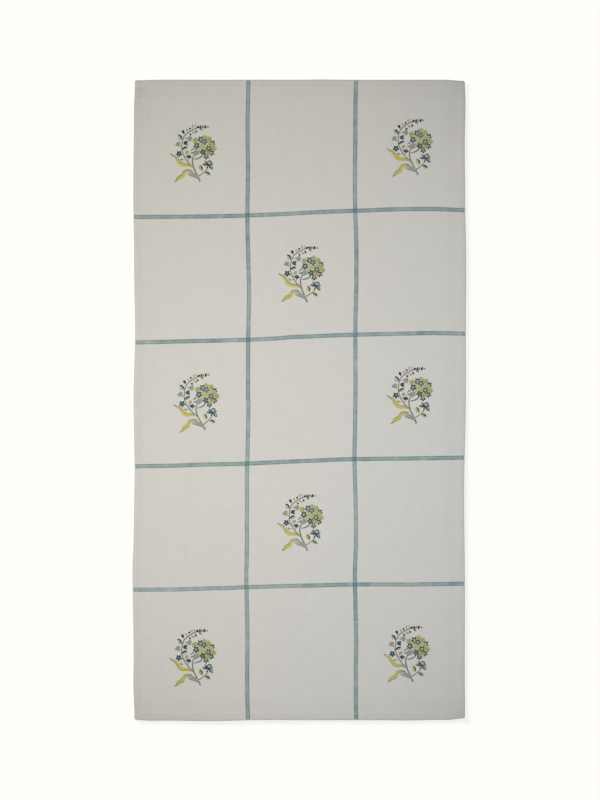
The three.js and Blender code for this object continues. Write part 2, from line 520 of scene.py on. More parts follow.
# Rings of leaf tips round the head: count, first turn, ink, length, width, start, twist
HEAD_LEAVES = [
    (12, 6, "moss", 16.5, 7.6, 3, 10),
    (18, 15, "olive", 8.5, 2.4, 13, -16),
    (7, 20, "sage", 8, 2.2, 3, 20),
]
# Turns at which the olive tips give way to the stem
HEAD_GAP = (180, 260)
PETALS = 5


def floret(petals, middle, x, y, turn, radius):
    """Petals round a middle, each kind of petal in its turn, from a motif's rows."""
    parts = []
    for petal in range(PETALS):
        parts += motif(petals[petal % len(petals)], x, y, turn + 360 // PETALS * petal, radius, radius)
    return parts + motif(middle, x, y, 0, radius, radius)


def vein(length, width, tip):
    return ribbon([(0, 0), (length, 0)], [width, tip], 2)


def yellow_floret(x, y, turn, radius, edge, other):
    rim = (edge, drop, 0, 1, 0.76)
    middle_line = ("olive", vein, 0.2, 0.42, 0.8 / radius, 0.4)
    petals = [[rim, (ink, drop, 0.12, 0.8, 0.52), middle_line] for ink in (other, "lemon")]
    middle = [("olive", oval, 0, 0.18, 0.18, 8), ("yellow", oval, 0, 0.12, 0.12, 6)]
    return floret(petals, middle, x, y, turn, radius)


def navy_floret(x, y, turn, radius, ink, core):
    petal = [(ink, blade, 0.1, 0.96, 0.64), ("teal", blade, 0.34, 0.42, 0.20, 0, 5)]
    middle = [("haze", oval, 0, 0.34, 0.34), (core, oval, 0, 0.24, 0.24, 9), ("teal", oval, 0, 0.07, 0.07, 6)]
    return floret([petal], middle, x, y, turn, radius)


def round_head():
    """The round head: leaf tips behind, then its florets."""
    x, y = HEAD_MIDDLE
    parts = []
    for count, first, ink, length, width, start, twist in HEAD_LEAVES:
        for leaf in range(count):
            angle = 360 / count * leaf + first
            if ink == "olive" and HEAD_GAP[0] < angle < HEAD_GAP[1]:
                continue
            parts.append((ink, placed(blade(length, width), *spot(x, y, angle, start), angle + twist)))
    parts += drawn(navy_floret, NAVY_BEHIND) + drawn(yellow_floret, YELLOW_FLORETS)
    return parts + drawn(navy_floret, NAVY_BEFORE)


# Narrow leaves that hold the head from below left: x, y, turn, length, width, bend
SEPALS = [(-6.8, 3.6, 29, 14.5, 3.4, 0.9), (-7.6, -0.8, 12, 17, 4.0, -0.4), (6, 6, 40, 10, 4, 0.5)]
# The turn of the broad striped sheath under the head
SHEATH_TURN = 45


def sepals():
    """The narrow leaves, then the sheath and its stripes."""
    parts = []
    for *place, bend in SEPALS:
        parts += motif([("grey", blade, 0, 1, 1, bend), ("moss", blade, 0.3, 0.5, 0.26, bend * 0.7)], *place)
    parts += motif([("grey", blade, 0, 20, 11, 0.4)], 0.2, -6, SHEATH_TURN)
    parts += motif([("moss", blade, 0, 17, 8.0, 0.2)], 1.6, -4.8, SHEATH_TURN)
    for reach in np.arange(6) * 2.2 + 3.4:
        half = 3.7 * math.sin(math.pi * reach / 19)
        stroke = ribbon([(reach, -half), (reach + 2.4, half)], [1.5, 0.8], 2)
        parts.append(("grey", placed(stroke, 1, -5.2, SHEATH_TURN)))
    return parts


# The long leaves at the foot: points of the spine, widths, shares of them that are yellow, ink of the end
LONG_LEAVES = [
    ([(-49.6, -1.6), (-44, -6.3), (-38.4, -8.8), (-34.2, -14.6), (-30.6, -20.4), (-25.6, -24.9),
      (-19.5, -26.6), (-13, -26.6), (-6.2, -28.8), (0, -32.5)],
     [0.8, 3.6, 5.4, 6.4, 7.2, 8.0, 7.4, 5.8, 4.0, 1.6], (0.28, 0.44, 0.72, 0.74, 0.04), "citron"),
    ([(-41.6, -62.4), (-36.4, -59.4), (-33.0, -55.2), (-28.4, -52.3), (-23.6, -49.6), (-21.4, -44.4),
      (-18, -40.2), (-12.6, -38.6), (-6.5, -38.8), (-1.6, -40.6)],
     [0.8, 4.2, 8.0, 8.4, 8.6, 6.2, 6.9, 5.4, 3.4, 1.0], (0.32, 0.4, 0.34, 0.08, 0.04), "fern"),
]


def long_leaf(points, widths, belly, end):
    """A wavy leaf with an olive edge, yellow along its belly and ochre flames along its spine."""
    inner = [max(width - 1.5, 0.5) for width in widths[1:-1]] + [0.4]
    bright = [0.4] + [width * share for width, share in zip(widths[3:], belly)]
    parts = [
        ("olive", ribbon(points, widths, 4)),
        ("citron", ribbon(points[1:], inner, 4)),
        ("yellow", ribbon(points[2:-2], bright, 4)),
        ("olive", ribbon(points[:2], [0.8, 2.6], 4)),
        ("fern", ribbon([points[0], np.mean(points[:2], axis=0)], [0.8, 2.7, 1.4], 3)),
        (end, ribbon(points[-3:], [0.5, 1.6, 0.8], 4)),
    ]
    spine = curve(points, 3)
    for place in range(7, len(spine) - 6, 2):
        across, along = (spine[place + 1] - spine[place])[::-1]
        turn = math.degrees(math.atan2(across, along))
        side = 1 if place % 4 == 1 else -1
        flame = blade(4.8, 1.05, 0.4 * side, 6)
        flame = placed(flame, *spot(*spine[place], turn, 0, side * 0.9), turn + 14 * side)
        parts.append(("olive" if side > 0 else "ochre", flame))
    return parts


# The curled leaf where the lower long leaf turns over: ink, points, widths
HATCHED_LEAF = [
    ("pale", [(-14.6, -43), (-8, -45), (0, -47.6), (6, -50.4), (10, -54)], [0.6, 7.0, 8.2, 6.4, 2.0]),
    ("sage", [(-9, -41), (-3, -42.2), (3, -44.4)], [0.5, 1.3, 1.4]),
    ("sage", [(-13, -42.7), (-5, -44), (0, -45.5), (5, -48), (9, -51.4)], [0.8, 2.0, 2.2, 2.4, 1.0]),
    ("grey", [(-11, -45.2), (-4, -46.7), (3, -49)], [0.4, 1.0, 0.7]),
    ("grey", [(-10, -46.8), (-3, -48.4), (3, -50.6)], [0.3, 0.7, 0.5]),
    ("sage", [(-14.6, -44.8), (-7.5, -48.8), (0, -51), (5, -53), (9.6, -56.4)], [0.8, 1.9, 2.2, 2.2, 1.0]),
    ("sage", [(1, -48.6), (5, -50.6), (8.6, -53.4), (11, -57)], [0.5, 1.4, 1.9, 1.0]),
    ("fern", [(-19, -43.4), (-15.4, -41.8), (-11.6, -41.2)], [0.5, 1.9, 0.5]),
]


# The striped lily at the lower right: turn, length, width, bend and breadth of the vein of each petal
LILY_MIDDLE = (31, -27)
LILY_PETALS = [
    (12, 12.4, 4.2, 0.8, 0.42), (-43, 14.0, 7.4, 1.5, 0.32), (171, 12.6, 5.4, -0.6, 0.46),
]
# Its pale petals at the top, and the dark strokes on them: points and widths
LILY_STROKES = [
    ([(29.8, -19.4), (34.2, -17.8), (37.3, -19.2), (39.2, -22.8)], [0.9, 2.2, 2.9, 1.8]),
    ([(23.8, -17), (26.3, -19.4), (29, -22.2), (31, -26)], [0.9, 2.7, 3.2, 2.2]),
]


def lily():
    x, y = LILY_MIDDLE
    parts = motif([("slate", drop, 0, 10.8, 10.0), ("haze", drop, 1.2, 9.0, 7.4)], x, y, 60)
    parts.append(("pale", placed(drop(3.2, 3.2), *spot(x, y, 60, 4.8, -0.2), 60)))
    parts += motif([("slate", blade, 0, 10.8, 5.2, 0.4), ("haze", blade, 1.2, 9.4, 3.6, 0.4)], x, y, 148)
    parts += [("slate", ribbon(points, widths, 4)) for points, widths in LILY_STROKES]
    for turn, length, width, bend, breadth in LILY_PETALS:
        parts.append(("slate", placed(blade(length, width, bend), x, y, turn)))
        inner = blade(length * 0.7, width * 0.48, bend, 7)
        parts.append(("haze", placed(inner, *spot(x, y, turn, length * 0.15, bend * 0.2), turn)))
        middle = blade(length * 0.74, width * breadth, bend * 0.4, 7, 1, 0.5)
        parts.append(("navy", placed(middle, x, y, turn)))
    parts += motif([("navy", oval, 0, 2.5, 2.5, 9)], x, y, 0)
    parts += motif([("teal", oval, 0, 1.2, 1.2, 7)], x - 1, y, 0)
    return parts + motif([("night", blade, 0, 5.6, 3.2, 0, 7)], 30.4, -29.2, 250)


# Small leaves with one dark half: x, y, turn, length, width, share of the dark half below and above
SIDE_LEAVES = [(18.7, -40.2, 112, 14.6, 8, 1, -0.1), (24, -41.6, -30, 13.6, 7.4, 0.15, 1.05)]


def side_leaf(x, y, turn, length, width, low, high):
    rows = [
        ("olive", blade, 0, 1, 1),
        ("lime", blade, 0.07, 0.86, 0.76),
        ("bronze", blade, 0.03, 0.98, 1, 0, 8, low, high),
    ]
    return motif(rows, x, y, turn, length, width)


# A little star flower left of the arching stem: x, y, turn; its petals and its middle, in a motif's rows
STAR = (-30.7, -2, -17)
STAR_PETAL = [("navy", blade, 0.3, 7.0, 4.5), ("blue", blade, 1, 3, 1.6, 0, 5)]
STAR_MIDDLE = [("blue", oval, 0, 1.8, 1.8, 8), ("haze", oval, 0, 1.2, 1.2, 8)]


def strokes(ink, rows, steps):
    return [(ink, ribbon(points, widths, steps)) for points, widths in rows]


def sprig():
    """The whole sprig: what comes later is printed over what came before."""
    parts = strokes("grey", STEMS + TIP_STEMS, 6) + strokes("sage", STEM_CORES, 4)
    parts += strokes("grey", [(twig, [0.9, 0.7]) for twig in TWIGS], 2)
    for ink, *row in HATCHED_LEAF:
        parts += strokes(ink, [row], 4)
    parts += sepals() + drawn(long_leaf, LONG_LEAVES) + drawn(bud, BUDS) + drawn(curled_leaflet, CURLS)
    for *place, ink in TIP_LEAVES:
        parts += motif([(ink, blade, 0, 1, 1, 0.4)], *place)
    parts += floret([STAR_PETAL], STAR_MIDDLE, *STAR, 1) + drawn(side_leaf, SIDE_LEAVES)
    return parts + lily() + round_head()


# Where the block was set down, and how each time: x, y, turn in degrees, strength of the ink
SPRIG_PLACES = [
    (-227.5, 530, 0.4, 1.00),
    (236, 543, 3.0, 0.95),
    (4, 272, -2.0, 1.00),
    (-221.5, -3.5, 5.1, 0.94),
    (236, 12, 0.3, 1.00),
    (1.5, -260, 0.6, 0.97),
    (-228.5, -549, 1.4, 1.03),
    (229, -541.5, -0.4, 0.98),
]
# One colour is printed after another, so each may land a little off
COLOUR_BLOCKS = [
    ("night", "navy", "deep", "bottle", "blue", "teal", "slate", "haze", "bare"),
    ("yellow", "lemon", "citron", "ochre", "lime"),
    ("olive", "fern", "bronze"),
    ("grey", "sage", "stone", "moss", "pale"),
]
BLOCK_OF = {ink: number for number, inks in enumerate(COLOUR_BLOCKS) for ink in inks}
COLOUR_SLIP = 0.45
# Dark inks turn green where they are printed over the yellow ones
DARK_INKS = ("night", "navy", "blue")
YELLOW_INKS = ("yellow", "lemon", "citron", "lime", "olive")
OVERPRINT = 0.7

# The faint square of painted shade where something behind the top left corner shows through
PATCH_BEHIND = np.array([(-347.5, 647.5), (-327, 647.5), (-327, 669), (-347.5, 669)])
PATCH_FOLD = 1.6

# Faint marks on the cloth: x, y, half length, half width, turn
FAINT_MARKS = [
    (-308, 664, 4.2, 1.4, 20), (-302.5, 658, 2.2, 1.6, 0), (-284, 659, 2.4, 1.5, 70),
    (-296, 668, 1.6, 1.2, 0), (-318, 622, 9, 2.2, -58), (-324, 604, 12, 2, 70), (-321, -512, 6, 4, 30),
    (262, -236, 3, 2, 10), (-60, 420, 2.6, 1.4, 40), (188, 402, 2.2, 1.2, 15), (64, -480, 2.4, 1.5, 80),
    (300, 230, 2, 1.4, 0),
]
# How much the printed points stray, and how much each shape's ink differs, from print to print
EDGE_SPREAD = 0.05
INK_SPREAD = 0.07


def counter_clockwise(outline):
    x, y = outline.T
    area = np.sum(x * np.roll(y, -1) - np.roll(x, -1) * y)
    return outline if area > 0 else outline[::-1]


def printed_shapes():
    """Every printed outline on the cloth, as its ink, its strength and its points."""
    rng = np.random.default_rng(SEED)
    middle = PATCH_BEHIND.mean(0)
    size = np.ptp(PATCH_BEHIND, axis=0)
    inner = middle + (PATCH_BEHIND - middle) * (1 - 2 * PATCH_FOLD / size)
    # The square and its inner band are painted shade
    shapes = [("shade", 1, PATCH_BEHIND), ("shade", 0.4, inner)]
    for x, y, length, width, turn in FAINT_MARKS:
        shapes.append(("soil", 1, placed(oval(length, width, 12), x, y, turn)))
    parts = sprig()
    for x, y, turn, strength in SPRIG_PLACES:
        slips = rng.uniform(-COLOUR_SLIP, COLOUR_SLIP, (len(COLOUR_BLOCKS), 2))
        for ink, outline in parts:
            spread = rng.normal(0, EDGE_SPREAD, outline.shape)
            moved = placed(outline + slips[BLOCK_OF[ink]] + spread, x, y, turn)
            print_strength = strength * rng.uniform(1 - INK_SPREAD, 1 + INK_SPREAD)
            shapes.append((ink, print_strength, counter_clockwise(moved)))
    return shapes


# The larger shapes of these inks show faintly on the underside
SHOWN_THROUGH = ("navy", "slate", "yellow", "grey", "moss", "olive")
SHOWN_SIZE = 7


def shown_through():
    shapes = []
    for ink, strength, outline in printed_shapes():
        if ink in SHOWN_THROUGH and np.ptp(outline, axis=0).max() > SHOWN_SIZE:
            shapes.append((ink, strength, outline[::2] if len(outline) > 12 else outline))
    return shapes


# The mesh

RIM_SPACING = 9
CORNER_POINTS = 5


def rounded_rectangle(inset):
    """Points round the flat cloth at an inset from its edge, anticlockwise, the same number for any inset."""
    middle = np.array([TOWEL_WIDTH / 2, TOWEL_LENGTH / 2]) - CORNER_RADIUS
    arcs = []
    for corner, sides in enumerate(((1, -1), (1, 1), (-1, 1), (-1, -1))):
        turn = np.radians(90 * (corner - 1) + 90 * np.arange(CORNER_POINTS) / (CORNER_POINTS - 1))
        arcs.append(middle * sides + (CORNER_RADIUS - inset) * np.stack([np.cos(turn), np.sin(turn)], 1))
    points = []
    for corner, (arc, following) in enumerate(zip(arcs, arcs[1:] + arcs[:1])):
        count = round(2 * middle[(corner + 1) % 2] / RIM_SPACING)
        points += [arc, arc[-1] + (following[0] - arc[-1]) * np.arange(1, count)[:, None] / count]
    return np.vstack(points)


# Points between the hems: how far in from the side and end edges they start, their spacing and scatter
FIELD_INSETS = (22, 26)
FIELD_SPACING = 13
FIELD_SCATTER = 1.5
# Rows along a hem: how far in those beside its folded edge are, their points' spacing and where they end
FOLD_ROWS = (3.4, 6.2)
ROW_SPACING = 8
ROW_END = 6


def field_points():
    """Points inside the hems that let the sheet swell, and rows along the hems for their ridges."""
    half = (TOWEL_WIDTH / 2, TOWEL_LENGTH / 2)
    rng = np.random.default_rng(SEED)
    reach = [size - start for size, start in zip(half, FIELD_INSETS)]
    steps = [np.arange(-size, size + 1, FIELD_SPACING) for size in reach]
    grid = np.stack(np.meshgrid(*steps), -1).reshape(-1, 2)
    points = [grid + rng.uniform(-FIELD_SCATTER, FIELD_SCATTER, grid.shape)]
    for number, hem in enumerate(HEMS):
        axis, sign = number // 2, (-1, 1)[number % 2]
        stitching = hem - STITCH_INSET
        length = half[1 - axis] - ROW_END
        run = np.arange(-length, length + 0.1, ROW_SPACING)
        seam_rows = (stitching - GROOVE_WIDTH, stitching, hem - HEM_STEP * 0.6, hem + HEM_STEP)
        for inset in FOLD_ROWS + seam_rows:
            edge = np.full(len(run), sign * (half[axis] - inset))
            points.append(np.stack((run, edge) if axis else (edge, run), 1))
    return np.vstack(points)


FOLD_PROFILE = [
    # inset from the edge, share of the height, for each ring round the folded edge
    (2.2, 1.0), (1.2, 0.94), (0.45, 0.79), (0.06, 0.55), (0.0, 0.38), (0.2, 0.16), (0.7, 0.04), (1.6, 0.0),
]
BACK_SHOW = 0.1

# The map that the exported model's picture is laid on: the face and beside it the narrower underside,
# with more room for the flowers than for the plain cloth between them
FACE_ON_MAP = (0.006, 0.750)
UNDERSIDE_ON_MAP = (0.764, 0.994)
LENGTH_ON_MAP = (0.006, 0.994)
MAP_ROOM = 6
# Middles of the flowers, their reach and how much more room they get, over the width and the length
FLOWERS_OVER_WIDTH = ((-226, 2.5, 233), 56, 1.7)
FLOWERS_OVER_LENGTH = ((-545, -260, 4, 272, 537), 72, 1.35)
RING_STEP_ON_MAP = 0.9


def along_map(place, size, flowers, bounds):
    """Where places along one side of the cloth lie on the map, between its bounds."""
    middles, reach, room = flowers
    stops = [-size / 2 - MAP_ROOM]
    for middle in middles:
        stops += [middle - reach, middle + reach]
    stops.append(size / 2 + MAP_ROOM)
    steps = np.diff(stops)
    steps[1::2] *= room
    start, end = bounds
    shares = np.append(0, np.cumsum(steps)) / steps.sum()
    return start + (end - start) * np.interp(place, stops, shares)


def on_map(place, bounds):
    """Where laid points of the face or the underside lie on the map."""
    return np.column_stack([
        along_map(place[:, 0], TOWEL_WIDTH, FLOWERS_OVER_WIDTH, bounds),
        along_map(place[:, 1], TOWEL_LENGTH, FLOWERS_OVER_LENGTH, LENGTH_ON_MAP),
    ])


def triangles(ring, inner, shapes):
    """The area inside a ring cut into triangles along every shape's outline.

    Gives the points, the ring's places among them and, for each triangle, its corners and its print.
    """
    points = [ring, inner]
    faces = [list(range(len(ring)))]
    count = len(ring) + len(inner)
    for _, _, outline in shapes:
        faces.append(list(range(count, count + len(outline))))
        points.append(outline)
        count += len(outline)
    given = [Vector(point) for point in np.vstack(points).tolist()]
    made, _, found, from_points, _, from_faces = delaunay_2d_cdt(given, [], faces, 0, 1e-4, True)
    where = {old: new for new, olds in enumerate(from_points) for old in olds}
    cut = []
    for corners, covers in zip(found, from_faces):
        if covers:
            cut.append((list(corners), density_of(covers, shapes)))
    return np.array([tuple(point) for point in made]), [where[number] for number in range(len(ring))], cut


def density_of(covers, shapes):
    """How much the print dims each colour where these shapes lie over one another."""
    if max(covers) == 0:
        return (0.0, 0.0, 0.0)
    ink, strength, _ = shapes[max(covers) - 1]
    density = np.log(INKS[ink]) * -strength
    if ink in DARK_INKS:
        under = [shapes[cover - 1] for cover in covers if cover and shapes[cover - 1][0] in YELLOW_INKS]
        if under:
            density += np.log(INKS[under[-1][0]]) * -OVERPRINT
    return tuple(density)


def smooth_mesh(name, points, faces):
    """A smooth mesh from points on the laid cloth, in millimetres."""
    mesh = bpy.data.meshes.new(name)
    faces = [[int(corner) for corner in face] for face in faces]
    mesh.from_pydata(((points - (MIDDLE_X, MIDDLE_Y, 0)) * MM).tolist(), [], faces)
    mesh.polygons.foreach_set("use_smooth", [True] * len(mesh.polygons))
    return mesh


def towel_mesh():
    """One closed sheet: the printed face, the underside and the folded edge between them."""
    rings = [laid(rounded_rectangle(inset)) for inset, _ in FOLD_PROFILE]
    rim = len(rings[0])
    inner = laid(field_points())
    face, face_ring, face_cut = triangles(rings[0], inner, printed_shapes())
    under, under_ring, under_cut = triangles(rings[-1], inner, shown_through())
    top = face_height(face)
    ring_height = top[face_ring]
    positions = [np.column_stack([face, top]), np.column_stack([under, under_height(under)])]
    rows = [face_ring]
    for ring, (_, share) in zip(rings[1:-1], FOLD_PROFILE[1:-1]):
        rows.append(sum(map(len, positions)) + np.arange(rim))
        positions.append(np.column_stack([ring, ring_height * share]))
    rows.append([len(face) + place for place in under_ring])

    polygons = [corners for corners, _ in face_cut]
    inks = [ink for _, ink in face_cut]
    shows = [1.0] * len(face_cut)
    polygons += [[len(face) + corner for corner in reversed(corners)] for corners, _ in under_cut]
    inks += [ink for _, ink in under_cut]
    # The underside is turned over on the map, and the folded edge spreads out round the face
    mapped = np.vstack([on_map(face, FACE_ON_MAP), on_map(under, UNDERSIDE_ON_MAP[::-1])])
    map_places = [mapped[corner] for polygon in polygons for corner in polygon]
    for number, (upper, lower) in enumerate(zip(rows, rows[1:])):
        inset = FOLD_PROFILE[0][0] - number * RING_STEP_ON_MAP
        above = on_map(laid(rounded_rectangle(inset)), FACE_ON_MAP)
        below = on_map(laid(rounded_rectangle(inset - RING_STEP_ON_MAP)), FACE_ON_MAP)
        for here in range(rim):
            after = (here + 1) % rim
            polygons.append([upper[here], lower[here], lower[after], upper[after]])
            inks.append((0.0, 0.0, 0.0))
            map_places += [above[here], below[here], below[after], above[after]]
    shows += [BACK_SHOW] * (len(polygons) - len(shows))

    points = np.vstack(positions)
    mesh = smooth_mesh("towel_cloth", points, polygons)
    for name, kind, domain, key, values in (
        ("ink", "FLOAT_VECTOR", "FACE", "vector", np.ravel(inks)),
        ("show", "FLOAT", "FACE", "value", shows),
        # painted shade along the folded edges, the seams, the borders and the corners
        ("painted_shade_share", "FLOAT", "POINT", "value", painted_shade(points[:, :2])),
    ):
        mesh.attributes.new(name, kind, domain).data.foreach_set(key, values)
    mesh.uv_layers.new(name="OFBake").uv.foreach_set("vector", np.ravel(map_places))
    return mesh


def add_object(name, mesh, material):
    piece = bpy.data.objects.new(name, mesh)
    bpy.context.collection.objects.link(piece)
    mesh.materials.append(material)
    return piece


# Materials

class Signal:
    """A node's output, with plain sums for the nodes that follow it."""

    def __init__(self, graph, socket):
        self.graph = graph
        self.socket = socket

    def __add__(self, other):
        return self.graph.math("ADD", self, other)

    def __sub__(self, other):
        return self.graph.math("SUBTRACT", self, other)

    def __mul__(self, other):
        return self.graph.math("MULTIPLY", self, other)

    def __truediv__(self, other):
        return self.graph.math("DIVIDE", self, other)

    def scaled(self, factor, offset):
        return self.graph.math("MULTIPLY_ADD", self, factor, offset)


class Graph:
    """Short calls for building a node material."""

    def __init__(self, name):
        self.material = bpy.data.materials.new(name)
        self.material.use_nodes = True
        self.tree = self.material.node_tree
        self.shader = self.tree.nodes["Principled BSDF"]

    def feed(self, node, inputs):
        for key, value in inputs:
            if isinstance(value, Signal):
                self.tree.links.new(value.socket, node.inputs[key])
            else:
                node.inputs[key].default_value = value

    def node(self, kind, inputs=(), output=0, **settings):
        """One output of a new node, whose inputs are pairs of a number or name and a value."""
        node = self.tree.nodes.new("ShaderNode" + kind)
        for key, value in settings.items():
            setattr(node, key, value)
        self.feed(node, inputs)
        return Signal(self, node.outputs[output])

    def math(self, operation, *values):
        return self.node("Math", enumerate(values), operation=operation)

    def vector(self, operation, *values):
        sockets = (0, "Scale") if operation == "SCALE" else (0, 1)
        return self.node("VectorMath", zip(sockets, values), operation=operation)

    def split(self, vector):
        first = self.node("SeparateXYZ", [(0, vector)])
        return [Signal(self, socket) for socket in first.socket.node.outputs]

    def ramp(self, *values):
        """A soft ramp of a value between two bounds, from one level to another."""
        return self.node("MapRange", enumerate(values), interpolation_type="SMOOTHSTEP")

    def noise(self, place, scale, detail=2.0, roughness=0.5):
        inputs = zip(("Vector", "Scale", "Detail", "Roughness"), (place, scale, detail, roughness))
        return self.node("TexNoise", inputs, "Fac", noise_dimensions="3D")

    def chance(self, number):
        return self.node("TexWhiteNoise", [("W", number)], "Value", noise_dimensions="1D")

    def blend(self, factor, first, second):
        inputs = zip((0, 6, 7), (factor, first, second))
        return self.node("Mix", inputs, 2, data_type="RGBA", clamp_factor=False)

    def attribute(self, name, output="Fac"):
        return self.node("Attribute", (), output, attribute_name=name)

    def object_place(self):
        return self.node("TexCoord", (), "Object")

    def millimetres(self):
        return self.vector("MULTIPLY", self.object_place(), (1 / MM, 1 / MM, 1 / MM))

    def curve(self, value, table, low, high, reach):
        """A table's value at a place between low and high, where no value is past reach."""
        shift = self.node("FloatCurve", [("Value", (value - low) / (high - low))])
        mapping = shift.socket.node.mapping
        mapping.use_clip = False
        points = mapping.curves[0].points
        for _ in table[len(points):]:
            points.new(0.5, 0.5)
        for point, (place, amount) in zip(points, table):
            point.location = ((place - low) / (high - low), amount / (2 * reach) + 0.5)
        mapping.update()
        return (shift - 0.5) * (2 * reach)

    def surface(self, base, roughness, height, strength, depth):
        """Gives the shader its colour, roughness and bump, and the material back."""
        inputs = zip(("Strength", "Distance", "Height"), (strength, depth, height))
        normal = self.node("Bump", inputs)
        self.feed(self.shader, [("Base Color", base), ("Roughness", roughness), ("Normal", normal)])
        return self.material


# The printed lines: middle, then its shifts at places along the line
DOWN_LINES = [
    (-111.5, [
        (-686, 0.4), (-582, -1.7), (-531, -0.6), (-428, -2.1), (-377, -3.4), (-351, -2.8), (-260, -1.5),
        (-145, -1.1), (-17, 0.9), (112, 1.1), (163, 1.7), (228, 2.7), (292, 1.5), (394, -0.6), (446, 0.0),
        (497, 0.7), (574, -0.4), (626, 0.2), (686, 1.9),
    ]),
    (119.0, [
        (-686, 1.5), (-582, 0.6), (-531, 1.3), (-428, 0.0), (-377, -1.0), (-299, 1.5), (-171, -0.4),
        (-119, -1.7), (-68, -0.7), (35, 0.6), (137, 0.0), (215, 1.3), (292, 1.9), (343, 1.5), (394, -0.4),
        (446, -1.3), (497, -1.1), (574, -0.4), (626, -0.2), (686, 1.2),
    ]),
]
# The lines across share their places: middle, then the shift at each place
ACROSS_PLACES = (-356, -278, -214, -150, -85, -21, 43, 107, 172, 236, 279, 356)
ACROSS_SHIFTS = [
    (400.5, (-7.8, -7.4, -6.8, -5.7, -3.8, -1.0, 2.6, 5.0, 6.9, 8.2, 8.5, 5.7)),
    (134.5, (-10.8, -8.8, -7.2, -5.9, -3.8, -0.2, 2.7, 5.2, 6.9, 8.2, 8.8, 7.5)),
    (-131.5, (-9.4, -8.5, -6.4, -5.2, -2.8, 0.0, 2.6, 4.7, 5.8, 6.6, 7.3, 8.4)),
    (-398.5, (-7.1, -6.8, -4.6, -3.1, -1.4, 0.5, 2.0, 3.7, 3.9, 3.7, 4.6, 5.8)),
]
ACROSS_LINES = [(middle, list(zip(ACROSS_PLACES, shifts))) for middle, shifts in ACROSS_SHIFTS]
LINE_HALF_WIDTH = 4.3
LINE_EDGE = 0.35
LINE_REACH = 12
RIM_START = 2.5
RIM_WIDTH = 1.0
CORE_STRENGTH = 0.82
RIM_STRENGTH = 1.5
# The printing block's length, how far each print laps the last, its extra ink there and its sideways slip
BLOCK_LENGTH = 140
BLOCK_LAP = 6
LAP_STRENGTH = 0.2
BLOCK_SLIP = 0.9
BLOCK_WETNESS = (0.3, 0.85)
CROSSING_SHARED = 0.3


def line_strength(graph, across, along, middle, shifts, half_length, number, rough):
    """How strongly one printed line inks the cloth, from block to block.

    Its number sets where its blocks start and keeps their chances apart from the other lines'.
    """
    block = along / BLOCK_LENGTH + (0.37 * number + 20)
    index = graph.math("FLOOR", block)
    slip = (graph.chance(index + 0.31 * number) - 0.5) * BLOCK_SLIP
    wet = graph.chance(index + (7.7 + 0.53 * number)).scaled(*BLOCK_WETNESS)
    shift = graph.curve(along, shifts, -half_length, half_length, LINE_REACH)
    offset = graph.math("ABSOLUTE", across - middle - (shift + slip)) + rough
    band = graph.ramp(offset, LINE_HALF_WIDTH - LINE_EDGE, LINE_HALF_WIDTH + LINE_EDGE, 1.0, 0.0)
    rim = graph.ramp(offset, RIM_START, RIM_START + RIM_WIDTH, CORE_STRENGTH, RIM_STRENGTH)
    lap = graph.ramp(graph.math("FRACT", block), 0.0, BLOCK_LAP / BLOCK_LENGTH, LAP_STRENGTH, 0.0)
    return band * (rim * wet + lap)


def lines_strength(graph, across, along, lines, length, first, rough):
    """All lines of one direction together."""
    total = None
    for number, (middle, shifts) in enumerate(lines, first):
        line = line_strength(graph, across, along, middle, shifts, length / 2, number, rough)
        total = total + line if total else line
    return total


CLOTH_COLOUR = (0.640, 0.617, 0.556)
THREAD_PITCH = 0.9
THREAD_DRIFT = 5.0
INK_EDGE_FUZZ = 1.3
KNUCKLE_SHARPNESS = 0.6
WARP_STRETCH = (0.62, 0.02, 0)
WEFT_STRETCH = (0.022, 0.62, 0)
# The cloth's uneven fields: scale, detail, roughness
CLOTH_NOISE = {
    "drift": (0.035, 2.0, 0.5),
    "slub": (1.0, 3, 0.6),
    "fuzz": (2.6, 3, 0.65),
    "ink_edge": (0.75, 3, 0.65),
    "mottle": (0.16, 4, 0.6),
    "blotch": (0.045, 3, 0.6),
    "cloudy": (0.03, 3, 0.5),
}
# How far they and the threads' knuckles change the ink, the tone and the roughness: share, level
INK_LEVELS = {"knuckle": (0.3, 0.8), "mottle": (0.5, 0.75), "blotch": (1.3, 0.35)}
# The knuckles' row of the tone paints shade into the hollows between the threads
TONE_LEVELS = {"slub": (0.11, 0.89), "knuckle": (0.12, 0.93), "cloudy": (0.05, 0.975)}
ROUGHNESS_LEVEL = (0.16, 0.82)
FUZZ_RISE = 0.05
KNUCKLE_RISE = 0.16
SLUB_RISE = 0.22
CLOTH_BUMP = 0.6
CLOTH_SHEEN = {"Sheen Weight": 0.12, "Sheen Roughness": 0.5, "Specular IOR Level": 0.2}


